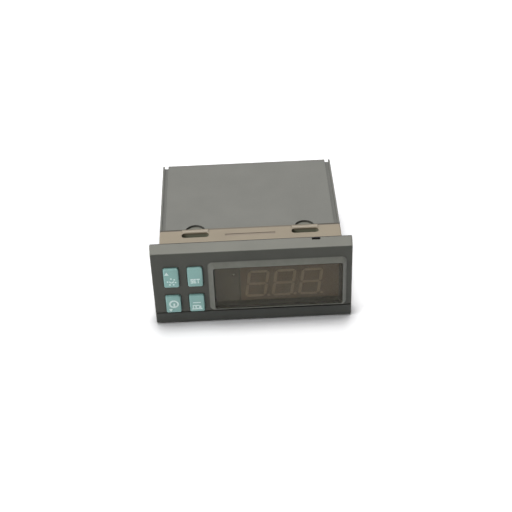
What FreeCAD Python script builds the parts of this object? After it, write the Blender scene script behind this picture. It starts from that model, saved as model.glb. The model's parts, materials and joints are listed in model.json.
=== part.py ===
import FreeCAD, Part
import math
import os
import re

import Sketcher

# Panel-mount temperature controller.
# X runs to the right seen from the front, Y into the panel and Z up.
# The origin is the centre of the panel cut-out, in the plane of the frame's rear edge.

V = FreeCAD.Vector

SIZES = {
    # body behind the panel, which sets the size of all that fits on or in it
    "body_width": 69.4,
    "body_height": 28.04,
    # front frame: a drafted cap with a plate in front
    "frame_side_overhang": 3.4,
    "frame_top_overhang": 3.08,
    "frame_depth": 5.7,
    "frame_draft": 3.8,
    "frame_corner": 0.45,
    "frame_edge": 0.25,
    "frame_wall": 1.2,
    "frame_plate": 1.6,
    # chin: the strip along the frame's lower edge, parted from the plate by a shadow groove
    "chin_height": 5.2,
    "chin_groove_height": 0.5,
    "chin_groove_depth": 0.8,
    "chin_wedge_width": 2.0,
    "chin_wedge_rise": 1.3,
    # pry notch in the frame's top wall
    "notch_inset": 13.6,
    "notch_width": 3.2,
    "notch_depth": 1.25,
    "notch_drop": 1.3,
    # snap lugs that hold the frame on the collar's flange
    "lug_width": 8.0,
    "lug_offset": 12.0,
    "lug_thickness": 0.6,
    "lug_height": 0.8,
    "lug_inset": 1.2,
    "lug_play": 0.1,
    # window and the bevelled rim round it
    "window_key_gap": 1.9,
    "window_right_inset": 4.0,
    "window_top_inset": 7.2,
    "window_chin_gap": 0.1,
    "window_corner": 0.8,
    "rim_height": 1.45,
    "rim_wide_bevel": 2.2,
    "rim_bevel": 1.6,
    "rim_land": 0.2,
    "rim_corner": 2.0,
    # lens
    "lens_recess": 0.3,
    "lens_thickness": 2.2,
    "lens_play": 0.05,
    "lens_lip": 0.9,
    "lens_lip_thickness": 0.8,
    "lens_edge": 0.15,
    # keys
    "key_width": 5.7,
    "key_proud": 0.9,
    "key_side_inset": 7.6,
    "key_column_pitch": 9.0,
    "key_top_inset": 7.0,
    "key_upper_height": 8.8,
    "key_chin_gap": 0.9,
    "key_lower_height": 8.0,
    "key_corner": 0.5,
    "key_edge": 0.25,
    "key_play": 0.2,
    "key_lip": 0.6,
    "key_lip_thickness": 0.8,
    "key_rest_gap": 0.1,
    "key_stem_size": 3.0,
    # tact switches behind the keys
    "switch_size": 4.5,
    "switch_depth": 3.2,
    "switch_stroke_room": 0.9,
    "plunger_diameter": 2.4,
    "plunger_play": 0.2,
    "plunger_proud": 1.1,
    "plunger_root": 1.8,
    # inner collar
    "collar_length": 12.75,
    "collar_wall": 1.4,
    "collar_edge": 0.6,
    "flange_thickness": 2.0,
    "flange_play": 0.3,
    "tongue_length": 6.0,
    "tongue_wall": 1.2,
    "tongue_play": 0.15,
    "latch_inset": 13.7,
    "latch_slot_length": 10.4,
    "latch_slot_width": 2.75,
    "latch_slot_roundness": 0.45,
    "latch_slot_start": 7.5,
    "rib_width": 2.2,
    "rib_height": 0.5,
    "rib_length": 10.0,
    "groove_length": 19.0,
    "groove_width": 1.3,
    "groove_start": 7.6,
    "groove_depth": 0.2,
    # gasket
    "gasket_thickness": 0.5,
    "gasket_inset": 0.15,
    "gasket_play": 0.3,
    # case
    "case_length": 44.85,
    "case_wall": 1.5,
    "case_rear_wall": 2.2,
    "case_edge": 0.3,
    "case_notch_radius": 3.86,
    "case_notch_depth": 2.75,
    "boss_play": 0.2,
    "boss_drop": 0.8,
    "rail_groove_width": 1.5,
    "rail_groove_depth": 0.8,
    "rail_lip": 0.75,
    "rear_notch_depth": 0.7,
    "channel_height": 6.0,
    "channel_depth": 0.8,
    "channel_start": 1.5,
    "tooth_pitch": 2.0,
    "tooth_height": 0.6,
    "tooth_share": 0.8,
    "tooth_start": 4.0,
    "tooth_rear_gap": 3.0,
    # guides inside the case for the main board
    "guide_width": 3.2,
    "guide_thickness": 1.2,
    "guide_play": 0.05,
    "guide_start": 2.0,
    "guide_end_gap": 1.0,
    # main board
    "board_thickness": 1.6,
    "board_standoff": 4.92,
    "board_edge_play": 0.5,
    "board_rear_play": 0.3,
    "board_front_gap": 0.3,
    # display board and what it carries
    "display_board_play": 0.3,
    "display_gap": 0.1,
    "display_thickness": 6.85,
    "lamp_field_width": 9.95,
    "display_height": 15.8,
    "display_right_inset": 1.2,
    "display_sill": 1.6,
    "digit_height": 12.7,
    "digit_start_share": 0.171,
    "digit_pitch_share": 0.271,
    "digit_width_share": 0.218,
    "digit_slant": 8.0,
    "bar_width": 1.1,
    "bar_gap": 0.25,
    "bar_depth": 1.2,
    "point_diameter": 1.2,
    "point_sides": 12,
    "holder_inset": 0.45,
    "holder_gap": 0.3,
    "led_inset": 2.4,
    "led_rise": 12.5,
    "led_diameter": 3.0,
    "led_tip_bevel": 0.75,
    "led_length": 5.2,
    "led_play": 0.15,
    "led_window": 1.2,
    # connector between the boards
    "connector_pins": 8,
    "pin_spacing": 2.54,
    "connector_height": 2.5,
    "socket_depth": 6.0,
    "header_depth": 2.5,
    "pin_size": 0.64,
    "pin_length": 4.0,
    "pin_play": 0.1,
    # parts on the main board
    "transformer_gap": 0.5,
    "transformer_start": 15.5,
    "core_width": 28.0,
    "core_length": 23.0,
    "core_stack": 8.0,
    "core_leg": 4.6,
    "coil_lift": 0.1,
    "coil_length": 13.4,
    "coil_play": 0.2,
    "bobbin_wall": 0.7,
    "bobbin_flange": 0.8,
    "bobbin_height": 17.0,
    "winding_inset": 0.5,
    "winding_corner": 1.5,
    "relay_width": 7.2,
    "relay_length": 20.4,
    "relay_height": 15.2,
    "relay_side_gap": 0.5,
    "relay_gap": 1.0,
    "relay_rear_gap": 1.6,
    "capacitor_diameter": 8.0,
    "capacitor_height": 11.5,
    "capacitor_inset": 4.35,
    "capacitor_row": 14.0,
    "capacitor_gap": 1.0,
    "capacitor_bead": 0.35,
    "chip_width": 7.2,
    "chip_length": 5.3,
    "chip_height": 1.8,
    "chip_column": 4.4,
    "chip_row": 15.3,
    "regulator_width": 6.5,
    "regulator_length": 5.0,
    "regulator_height": 2.3,
    "regulator_inset": 14.3,
    "regulator_row": 7.0,
    "buzzer_diameter": 9.6,
    "buzzer_height": 5.0,
    "buzzer_hole": 1.6,
    "buzzer_inset": 7.35,
    "buzzer_row": 9.8,
    "varistor_diameter": 9.0,
    "varistor_thickness": 3.6,
    "varistor_inset": 5.35,
    "varistor_row": 7.0,
    "rectifier_width": 4.8,
    "rectifier_length": 4.0,
    "rectifier_height": 2.5,
    "rectifier_inset": 15.2,
    "rectifier_row": 8.0,
    # rear terminal blocks, their cages and their screws
    "pole_pitch": 5.08,
    "block_height": 16.0,
    "block_depth": 12.6,
    "block_recess": 0.4,
    "block_gap": 0.3,
    "block_end_wall": 0.3,
    "block_play": 0.25,
    "block_side_wall": 0.5,
    "entry_width": 3.4,
    "entry_height": 3.6,
    "entry_level": 4.0,
    "screw_level": 11.4,
    "screw_hole": 3.8,
    "chamber_width": 4.0,
    "chamber_depth": 8.0,
    "chamber_margin": 1.2,
    "cage_play": 0.1,
    "cage_depth": 6.0,
    "cage_entry_height": 2.6,
    "cage_entry_width": 2.6,
    "screw_head_diameter": 3.5,
    "screw_head_height": 1.6,
    "screw_head_recess": 1.2,
    "head_sides": 16,
    "shank_sides": 8,
    "screw_diameter": 2.5,
    "screw_length": 6.0,
    "screw_play": 0.05,
    "screw_slot": 0.6,
}

# The frame's overall size follows the body's.
FRAME_RIGHT = "(body_width / 2 + frame_side_overhang)"
FRAME_TOP = "(body_height / 2 + frame_top_overhang)"
CHIN_LINE = f"(-{FRAME_TOP} + chin_height)"
NOTCH_CENTRE = f"({FRAME_RIGHT} - notch_inset)"

# Where the keys and the window stand in the frame's plate.
KEY_OUTER = f"(-{FRAME_RIGHT} + key_side_inset)"
KEY_INNER = f"({KEY_OUTER} + key_column_pitch)"
WINDOW_LEFT = f"({KEY_INNER} + key_width / 2 + window_key_gap + rim_wide_bevel)"
WINDOW_RIGHT = f"({FRAME_RIGHT} - window_right_inset)"
WINDOW_BOTTOM = f"({CHIN_LINE} + chin_groove_height + window_chin_gap + rim_bevel)"
WINDOW_TOP = f"({FRAME_TOP} - window_top_inset)"

# Where the display's block, its figures and the lamp beside it stand behind the window.
DISPLAY_RIGHT = f"({WINDOW_RIGHT} - display_right_inset)"
DISPLAY_LEFT = f"({WINDOW_LEFT} + lamp_field_width)"
DISPLAY_WIDTH = f"({DISPLAY_RIGHT} - {DISPLAY_LEFT})"
DISPLAY_BOTTOM = f"({WINDOW_BOTTOM} + display_sill)"
DISPLAY_TOP = f"({DISPLAY_BOTTOM} + display_height)"
DIGIT_FIRST = f"({DISPLAY_LEFT} + {DISPLAY_WIDTH} * digit_start_share)"
DIGIT_PITCH = f"({DISPLAY_WIDTH} * digit_pitch_share)"
DIGIT_WIDTH = f"({DISPLAY_WIDTH} * digit_width_share)"
DIGIT_LEVEL = f"(({DISPLAY_BOTTOM} + {DISPLAY_TOP}) / 2)"
LED_COLUMN = f"({DISPLAY_LEFT} - led_inset)"
LED_LEVEL = f"({DISPLAY_BOTTOM} + led_rise)"

# Levels along Y, all worked out from the sizes.
PLATE_BACK = "-(frame_depth - frame_plate)"
RIM_TOP = "-(frame_depth + rim_height)"
LENS_FRONT = f"({RIM_TOP}) + lens_recess"
LENS_BACK = f"({LENS_FRONT}) + lens_thickness"
DISPLAY_FRONT = f"({LENS_BACK}) + display_gap"
DISPLAY_BOARD_FRONT = f"({DISPLAY_FRONT}) + display_thickness"
DISPLAY_BOARD_BACK = f"({DISPLAY_BOARD_FRONT}) + board_thickness"
KEY_LIP_FRONT = f"({PLATE_BACK}) + key_rest_gap"
KEY_LIP_BACK = f"({KEY_LIP_FRONT}) + key_lip_thickness"
SWITCH_FRONT = f"({DISPLAY_BOARD_FRONT}) - switch_depth"
PLUNGER_TIP = f"({SWITCH_FRONT}) - plunger_proud"
TONGUE_END = "collar_length + tongue_length"
CASE_REAR = "collar_length + case_length"
CASE_INSIDE_REAR = f"({CASE_REAR}) - case_rear_wall"
BLOCK_REAR = f"({CASE_REAR}) - block_recess"
BLOCK_FRONT = f"({BLOCK_REAR}) - block_depth"

# Half widths and heights of the nested housings.
FRAME_INSIDE_X = f"{FRAME_RIGHT} - frame_wall"
FRAME_INSIDE_Z = f"{FRAME_TOP} - frame_wall"
FLANGE_X = f"({FRAME_INSIDE_X}) - flange_play"
FLANGE_Z = f"({FRAME_INSIDE_Z}) - flange_play"
COLLAR_INSIDE_X = "body_width / 2 - collar_wall"
COLLAR_INSIDE_Z = "body_height / 2 - collar_wall"
CASE_INSIDE_X = "body_width / 2 - case_wall"
CASE_INSIDE_Z = "body_height / 2 - case_wall"
TONGUE_X = f"({CASE_INSIDE_X}) - tongue_play"
TONGUE_Z = f"({CASE_INSIDE_Z}) - tongue_play"
TONGUE_INSIDE_X = f"({TONGUE_X}) - tongue_wall"
TONGUE_INSIDE_Z = f"({TONGUE_Z}) - tongue_wall"
LATCH_OFFSET = "(body_width / 2 - latch_inset)"
CASE_NOTCH_LEVEL = "(collar_length + case_notch_depth - case_notch_radius)"

# The main board's top face, its ends and its sides, and the guides that hold it.
BOARD_TOP = f"-({CASE_INSIDE_Z} - board_standoff)"
GUIDE_INSIDE = f"({CASE_INSIDE_X} - guide_width)"
BOARD_SIDE = f"({TONGUE_INSIDE_X}) - board_edge_play"
BOARD_FRONT = f"({DISPLAY_BOARD_BACK}) + board_front_gap"
BOARD_REAR = f"({CASE_INSIDE_REAR}) - board_rear_play"

# A terminal block takes as many poles as fit between the case's side grooves.
BLOCK_ROOM = "body_width / 2 - rail_lip - rail_groove_width - block_side_wall - block_play - block_gap / 2"
POLE_COUNT = f"floor(({BLOCK_ROOM} - 2 * block_end_wall) / pole_pitch)"
BLOCK_WIDTH = f"(pole_pitch * {POLE_COUNT} + 2 * block_end_wall)"
TOOTH_COUNT = "floor((case_length - tooth_start - tooth_rear_gap) / tooth_pitch)"
ENTRY_LEVEL = f"({BOARD_TOP}) + entry_level"
SCREW_LEVEL = f"({BOARD_TOP}) + screw_level"

doc = FreeCAD.newDocument("TemperatureController")
sheet = doc.addObject("Spreadsheet::Sheet", "Sizes")
for row, (size_name, size_value) in enumerate(SIZES.items(), 1):
    sheet.set(f"A{row}", size_name)
    sheet.set(f"B{row}", str(size_value))
    sheet.setAlias(f"B{row}", size_name)
doc.recompute()

nodes = []


def terms(formula):
    """The formula with each size's name pointing at its cell in the sheet."""
    def cell(word):
        return f"Sizes.{word[0]}" if word[0] in SIZES else word[0]
    return re.sub(r"[a-z][a-z_]*", cell, str(formula))


def number(formula):
    """What the formula comes to with the sheet as it is."""
    return float(sheet.evalExpression(terms(formula)))


def bind(thing, **formulas):
    """Tie properties of an object to formulas of the sheet's sizes."""
    for name, formula in formulas.items():
        thing.setExpression(name, terms(formula))


def node(thing, name):
    """Give a finished sub-part the label that names its file."""
    thing.Label = name
    nodes.append(thing)
    return thing


# ---------------------------------------------------------------- Part primitives

def block(name, x, y, z):
    """A box between a low and a high formula on each axis."""
    box = doc.addObject("Part::Box", name)
    for axis, side, (low, high) in zip("xyz", ("Length", "Width", "Height"), (x, y, z)):
        box.setExpression(f"Placement.Base.{axis}", terms(low))
        box.setExpression(side, terms(f"({high}) - ({low})"))
    return box


def rod(name, axis, diameter, x, y, z):
    """A cylinder along Y or Z; the coordinate of its own axis is a low and a high formula."""
    cylinder = doc.addObject("Part::Cylinder", name)
    if axis == "y":
        cylinder.Placement.Rotation = FreeCAD.Rotation(V(1, 0, 0), -90)
    low, high = {"y": y, "z": z}[axis]
    starts = {"x": x, "y": y, "z": z, axis: low}
    for direction, start in starts.items():
        cylinder.setExpression(f"Placement.Base.{direction}", terms(start))
    bind(cylinder, Radius=f"({diameter}) / 2", Height=f"({high}) - ({low})")
    return cylinder


def many_sided(name, sides, diameter, x, y, z):
    """A bar along Y with that many sides, for the repeated screws and the holes that take them."""
    bar = doc.addObject("Part::Prism", name)
    bind(bar, Polygon=sides)
    bar.Placement.Rotation = FreeCAD.Rotation(V(1, 0, 0), -90)
    low, high = y
    for direction, start in {"x": x, "y": low, "z": z}.items():
        bar.setExpression(f"Placement.Base.{direction}", terms(start))
    bind(bar, Circumradius=f"({diameter}) / 2", Height=f"({high}) - ({low})")
    return bar


def fuse(name, shapes):
    """Several primitives as one shape."""
    union = doc.addObject("Part::MultiFuse", name)
    union.Shapes = shapes
    return union


def cut(name, base, tools):
    """A shape less one or more others."""
    difference = doc.addObject("Part::Cut", name)
    difference.Base = base
    difference.Tool = tools[0] if len(tools) == 1 else fuse(name + "Tools", tools)
    return difference


def group(name, shapes):
    """Separate solids kept apart in one node."""
    compound = doc.addObject("Part::Compound", name)
    compound.Links = shapes
    return compound


def bevelled(name, base, size, wanted):
    """A primitive with the edges that the test picks chamfered."""
    doc.recompute()
    chamfered = doc.addObject("Part::Chamfer", name)
    chamfered.Base = base
    width = number(size)
    chamfered.Edges = [(i, width, width) for i, edge in enumerate(base.Shape.Edges, 1) if wanted(edge)]
    return chamfered


# ---------------------------------------------------------------- PartDesign helpers

def new_body(name):
    return doc.addObject("PartDesign::Body", name)


def sketch(body, axis, level):
    """A sketch square to an axis of the body, at a level along it.

    Its own axes are Y and Z when it is square to X, X and Z when it is square to Y,
    and X and Y when it is square to Z.
    """
    role = {"x": "YZ_Plane", "y": "XZ_Plane", "z": "XY_Plane"}[axis]
    plane = next(item for item in body.Origin.OriginFeatures if item.Role == role)
    drawing = body.newObject("Sketcher::SketchObject", "Sketch")
    drawing.AttachmentSupport = (plane, [""])
    drawing.MapMode = "FlatFace"
    sign = "-" if axis == "y" else ""
    drawing.setExpression("AttachmentOffset.Base.z", terms(f"{sign}({level})"))
    return drawing


def place(drawing, curve, end, across, up):
    """Hold one end of a sketch curve at two formulas."""
    for kind, formula in (("DistanceX", across), ("DistanceY", up)):
        held = drawing.addConstraint(Sketcher.Constraint(kind, -1, 1, curve, end, number(formula)))
        drawing.setExpression(f"Constraints[{held}]", terms(formula))


def polygon(drawing, corners):
    """A closed outline through corners given as pairs of formulas."""
    first = drawing.GeometryCount
    points = [V(number(across), number(up), 0) for across, up in corners]
    for start, end in zip(points, points[1:] + points[:1]):
        drawing.addGeometry(Part.LineSegment(start, end), False)
    for i, (across, up) in enumerate(corners):
        after = first + (i + 1) % len(corners)
        drawing.addConstraint(Sketcher.Constraint("Coincident", first + i, 2, after, 1))
        place(drawing, first + i, 1, across, up)


def rectangle(drawing, left, right, bottom, top):
    polygon(drawing, [(left, bottom), (right, bottom), (right, top), (left, top)])


def centred(drawing, half_width, half_height):
    rectangle(drawing, f"-({half_width})", half_width, f"-({half_height})", half_height)


def circle(drawing, across, up, diameter):
    start = Part.Circle(V(number(across), number(up), 0), V(0, 0, 1), number(diameter) / 2)
    curve = drawing.addGeometry(start, False)
    place(drawing, curve, 3, across, up)
    held = drawing.addConstraint(Sketcher.Constraint("Diameter", curve, number(diameter)))
    drawing.setExpression(f"Constraints[{held}]", terms(diameter))


def round_rectangle(drawing, left, right, bottom, top, radius):
    """A rectangle whose four corners are tangent arcs of one radius."""
    first = drawing.GeometryCount
    x0, x1, y0, y1, r = (number(formula) for formula in (left, right, bottom, top, radius))
    lines = [
        (x0 + r, y0, x1 - r, y0), (x1, y0 + r, x1, y1 - r),
        (x1 - r, y1, x0 + r, y1), (x0, y1 - r, x0, y0 + r)]
    centres = [(x1 - r, y0 + r), (x1 - r, y1 - r), (x0 + r, y1 - r), (x0 + r, y0 + r)]
    for i, (line, (cx, cy)) in enumerate(zip(lines, centres)):
        drawing.addGeometry(Part.LineSegment(V(line[0], line[1], 0), V(line[2], line[3], 0)), False)
        corner = Part.Circle(V(cx, cy, 0), V(0, 0, 1), r)
        start = (i - 1) * math.pi / 2
        drawing.addGeometry(Part.ArcOfCircle(corner, start, start + math.pi / 2), False)
    for i in range(4):
        line = first + 2 * i
        following = first + 2 * ((i + 1) % 4)
        drawing.addConstraint(Sketcher.Constraint("Tangent", line, 2, line + 1, 1))
        drawing.addConstraint(Sketcher.Constraint("Tangent", line + 1, 2, following, 1))
        drawing.addConstraint(Sketcher.Constraint(("Horizontal", "Vertical")[i % 2], line))
        if i:
            drawing.addConstraint(Sketcher.Constraint("Equal", first + 1, line + 1))
    held = drawing.addConstraint(Sketcher.Constraint("Radius", first + 1, r))
    drawing.setExpression(f"Constraints[{held}]", terms(radius))
    sides = [
        ("DistanceY", 0, bottom, y0), ("DistanceX", 2, right, x1),
        ("DistanceY", 4, top, y1), ("DistanceX", 6, left, x0)]
    for kind, line, formula, start in sides:
        held = drawing.addConstraint(Sketcher.Constraint(kind, -1, 1, first + line, 1, start))
        drawing.setExpression(f"Constraints[{held}]", terms(formula))


def dome(drawing, start, end, base, rise):
    """A flat-based hump: a straight base and one arc over it."""
    x0, x1, y0, height = (number(formula) for formula in (start, end, base, rise))
    line = drawing.addGeometry(Part.LineSegment(V(x1, y0, 0), V(x0, y0, 0)), False)
    arc = drawing.addGeometry(Part.Arc(V(x0, y0, 0), V((x0 + x1) / 2, y0 + height, 0), V(x1, y0, 0)), False)
    starts_at_end = height > 0
    drawing.addConstraint(Sketcher.Constraint("Coincident", line, 1, arc, 1 if starts_at_end else 2))
    drawing.addConstraint(Sketcher.Constraint("Coincident", line, 2, arc, 2 if starts_at_end else 1))
    place(drawing, line, 1, end, base)
    place(drawing, line, 2, start, base)
    radius = f"((({end}) - ({start})) ^ 2 / 4 + ({rise}) ^ 2) / (2 * abs({rise}))"
    held = drawing.addConstraint(Sketcher.Constraint("Radius", arc, number(radius)))
    drawing.setExpression(f"Constraints[{held}]", terms(radius))


def extrude(body, kind, drawing, length, toward, taper):
    """A Pad or Pocket of a sketch, towards the positive or negative end of its axis."""
    before = body.Shape.Volume if body.Tip else 0
    feature = body.newObject("PartDesign::" + kind, kind)
    feature.Profile = drawing
    bind(feature, Length=length)
    along_normal = (toward > 0) != (drawing.AttachmentSupport[0][0].Role == "XZ_Plane")
    feature.Reversed = along_normal == (kind == "Pocket")
    if taper:
        bind(feature, TaperAngle=taper)
    body.Tip = feature
    doc.recompute()
    change = (body.Shape.Volume - before) * (1 if kind == "Pad" else -1)
    if change <= 0:
        raise ValueError(f"{body.Label}: {feature.Name} changes nothing")
    return feature


def pad(body, drawing, length, toward=1, taper=None):
    return extrude(body, "Pad", drawing, length, toward, taper)


def pocket(body, drawing, length, toward=1):
    return extrude(body, "Pocket", drawing, length, toward, None)


def dress(body, kind, wanted, **sizes):
    """Round or bevel the edges of the body that the test picks."""
    base = body.Tip
    names = [f"Edge{i}" for i, edge in enumerate(base.Shape.Edges, 1) if wanted(edge)]
    dressing = body.newObject("PartDesign::" + kind, kind)
    dressing.Base = (base, names)
    bind(dressing, **sizes)
    body.Tip = dressing
    doc.recompute()


def fillet(body, radius, wanted):
    dress(body, "Fillet", wanted, Radius=radius)


def chamfer(body, size, wanted):
    dress(body, "Chamfer", wanted, Size=size)


def runs_along(axis):
    """Tests for straight edges within ten degrees of an axis."""
    direction = {"x": V(1, 0, 0), "y": V(0, 1, 0), "z": V(0, 0, 1)}[axis]

    def wanted(edge):
        ends = edge.Vertexes[-1].Point - edge.Vertexes[0].Point
        return ends.Length > 0 and abs(ends.dot(direction)) > 0.985 * ends.Length
    return wanted


def lies_at(axis, level):
    """Tests for edges that lie wholly at one level of an axis."""
    place_at = number(level)
    low, high = axis.upper() + "Min", axis.upper() + "Max"

    def wanted(edge):
        box = edge.BoundBox
        return abs(getattr(box, low) - place_at) < 0.001 and abs(getattr(box, high) - place_at) < 0.001
    return wanted


# ---------------------------------------------------------------- front

def key_places():
    """Each key's name, its centre along X and its lower and upper ends along Z."""
    upper_top = f"({FRAME_TOP} - key_top_inset)"
    lower_bottom = f"({CHIN_LINE} + key_chin_gap)"
    upper = (f"({upper_top} - key_upper_height)", upper_top)
    lower = (lower_bottom, f"({lower_bottom} + key_lower_height)")
    return {
        "defrost": (KEY_OUTER, *upper),
        "set": (KEY_INNER, *upper),
        "on_off": (KEY_OUTER, *lower),
        "mute": (KEY_INNER, *lower),
    }


def front_frame():
    body = new_body("FrontFrame")
    outline = sketch(body, "y", "0")
    centred(outline, FRAME_RIGHT, FRAME_TOP)
    pad(body, outline, "frame_depth", toward=-1, taper="-frame_draft")
    chamfer(body, "frame_corner", runs_along("y"))
    chamfer(body, "frame_edge", lies_at("y", "-frame_depth"))
    add_chin(body)
    hollow = sketch(body, "y", "0")
    centred(hollow, FRAME_INSIDE_X, FRAME_INSIDE_Z)
    pocket(body, hollow, "frame_depth - frame_plate", toward=-1)
    add_rim(body)
    cut_key_holes(body)
    notch = sketch(body, "z", FRAME_INSIDE_Z)
    rectangle(
        notch, f"{NOTCH_CENTRE} - notch_width / 2", f"{NOTCH_CENTRE} + notch_width / 2", "-notch_depth", "0")
    pocket(body, notch, "frame_wall")
    add_frame_lugs(body)
    node(body, "front_frame")


def add_chin(body):
    """A shadow groove parts the lower strip from the plate and widens upwards at its right end."""
    top = f"({CHIN_LINE} + chin_groove_height)"
    groove = sketch(body, "y", "-frame_depth")
    polygon(groove, [
        (f"-{FRAME_RIGHT}", CHIN_LINE), (FRAME_RIGHT, CHIN_LINE), (FRAME_RIGHT, f"{top} + chin_wedge_rise"),
        (f"{FRAME_RIGHT} - chin_wedge_width", top), (f"-{FRAME_RIGHT}", top)])
    pocket(body, groove, "chin_groove_depth")


def window_outline(drawing, margin, wide_margin, radius):
    """The window's outline, grown by one margin at the right and below and another at the left and above."""
    round_rectangle(
        drawing, f"{WINDOW_LEFT} - {wide_margin}", f"{WINDOW_RIGHT} + {margin}",
        f"{WINDOW_BOTTOM} - {margin}", f"{WINDOW_TOP} + {wide_margin}", radius)


def cut_rectangle(drawing, left, right, bottom, top, corner):
    """A rectangle with its four corners cut off."""
    polygon(drawing, [
        (f"{left} + {corner}", bottom), (f"{right} - {corner}", bottom),
        (right, f"{bottom} + {corner}"), (right, f"{top} - {corner}"),
        (f"{right} - {corner}", top), (f"{left} + {corner}", top),
        (left, f"{top} - {corner}"), (left, f"{bottom} + {corner}")])


def add_rim(body):
    """The raised bevel round the window, the window through it and the lens's seat behind."""
    foot = sketch(body, "y", "-frame_depth")
    window_outline(foot, "rim_bevel", "rim_wide_bevel", "rim_corner")
    top = sketch(body, "y", RIM_TOP)
    window_outline(top, "rim_land", "rim_land", "window_corner + rim_land")
    rim = body.newObject("PartDesign::AdditiveLoft", "Rim")
    rim.Profile = foot
    rim.Sections = [top]
    rim.Ruled = True
    body.Tip = rim
    window = sketch(body, "y", RIM_TOP)
    window_outline(window, "0", "0", "window_corner")
    pocket(body, window, "rim_height + frame_plate")
    seat = sketch(body, "y", PLATE_BACK)
    window_outline(seat, "(lens_lip + lens_play)", "(lens_lip + lens_play)", "window_corner + lens_lip")
    pocket(body, seat, f"({PLATE_BACK}) - (({LENS_BACK}) - lens_lip_thickness)", toward=-1)


def cut_key_holes(body):
    holes = sketch(body, "y", "-frame_depth")
    for centre, bottom, top in key_places().values():
        half = "key_width / 2 + key_play"
        cut_rectangle(
            holes, f"{centre} - ({half})", f"{centre} + {half}",
            f"{bottom} - key_play", f"{top} + key_play", "key_corner")
    pocket(body, holes, "frame_plate")


def lug_outlines(drawing, play):
    """Two lugs above and two below, reaching in from the frame's walls."""
    for side in ("-", ""):
        left = f"{side}lug_offset - lug_width / 2 - {play}"
        right = f"{side}lug_offset + lug_width / 2 + {play}"
        inner = f"{FRAME_INSIDE_Z} - lug_height - {play}"
        rectangle(drawing, left, right, inner, FRAME_INSIDE_Z)
        rectangle(drawing, left, right, f"-({FRAME_INSIDE_Z})", f"-({inner})")


def add_frame_lugs(body):
    lugs = sketch(body, "y", "-lug_inset")
    lug_outlines(lugs, "0")
    pad(body, lugs, "lug_thickness", toward=1)


def display_lens():
    body = new_body("DisplayLens")
    face = sketch(body, "y", LENS_BACK)
    window_outline(face, "(-lens_play)", "(-lens_play)", "window_corner")
    pad(body, face, "lens_thickness", toward=-1)
    chamfer(body, "lens_edge", lies_at("y", LENS_FRONT))
    lip = sketch(body, "y", LENS_BACK)
    window_outline(lip, "lens_lip", "lens_lip", "window_corner + lens_lip")
    pad(body, lip, "lens_lip_thickness", toward=-1)
    node(body, "display_lens")


def panel_gasket():
    body = new_body("PanelGasket")
    ring = sketch(body, "y", "0")
    centred(ring, f"{FRAME_RIGHT} - gasket_inset", f"{FRAME_TOP} - gasket_inset")
    centred(ring, "body_width / 2 + gasket_play", "body_height / 2 + gasket_play")
    pad(body, ring, "gasket_thickness")
    node(body, "panel_gasket")


def key_cap(name, centre, bottom, top):
    body = new_body("Key_" + name)
    face = sketch(body, "y", KEY_LIP_FRONT)
    cut_rectangle(face, f"{centre} - key_width / 2", f"{centre} + key_width / 2", bottom, top, "key_corner")
    pad(body, face, f"({KEY_LIP_FRONT}) + frame_depth + key_proud", toward=-1)
    chamfer(body, "key_edge", lies_at("y", "-(frame_depth + key_proud)"))
    lip = sketch(body, "y", KEY_LIP_FRONT)
    rectangle(
        lip, f"{centre} - key_width / 2 - key_lip", f"{centre} + key_width / 2 + key_lip",
        f"{bottom} - key_lip", f"{top} + key_lip")
    pad(body, lip, "key_lip_thickness")
    stem = sketch(body, "y", KEY_LIP_BACK)
    middle = f"(({bottom}) + ({top})) / 2"
    rectangle(
        stem, f"{centre} - key_stem_size / 2", f"{centre} + key_stem_size / 2",
        f"{middle} - key_stem_size / 2", f"{middle} + key_stem_size / 2")
    pad(body, stem, f"({PLUNGER_TIP}) - ({KEY_LIP_BACK})")
    node(body, "key_" + name)


def tact_switch(name, centre, bottom, top):
    """A square switch on the display board and the round plunger that the key presses."""
    middle = f"(({bottom}) + ({top})) / 2"
    half = "switch_size / 2"
    root = f"({SWITCH_FRONT}) + plunger_root"
    housing = block(
        "SwitchHousing_" + name, (f"{centre} - {half}", f"{centre} + {half}"),
        (SWITCH_FRONT, DISPLAY_BOARD_FRONT), (f"{middle} - {half}", f"{middle} + {half}"))
    well = rod(
        "SwitchWell_" + name, "y", "plunger_diameter + 2 * plunger_play",
        centre, (SWITCH_FRONT, f"{root} + switch_stroke_room"), middle)
    node(cut("Switch_" + name, housing, [well]), "switch_body_" + name)
    node(rod("Plunger_" + name, "y", "plunger_diameter", centre, (PLUNGER_TIP, root), middle),
         "switch_plunger_" + name)


# ---------------------------------------------------------------- housings

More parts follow.
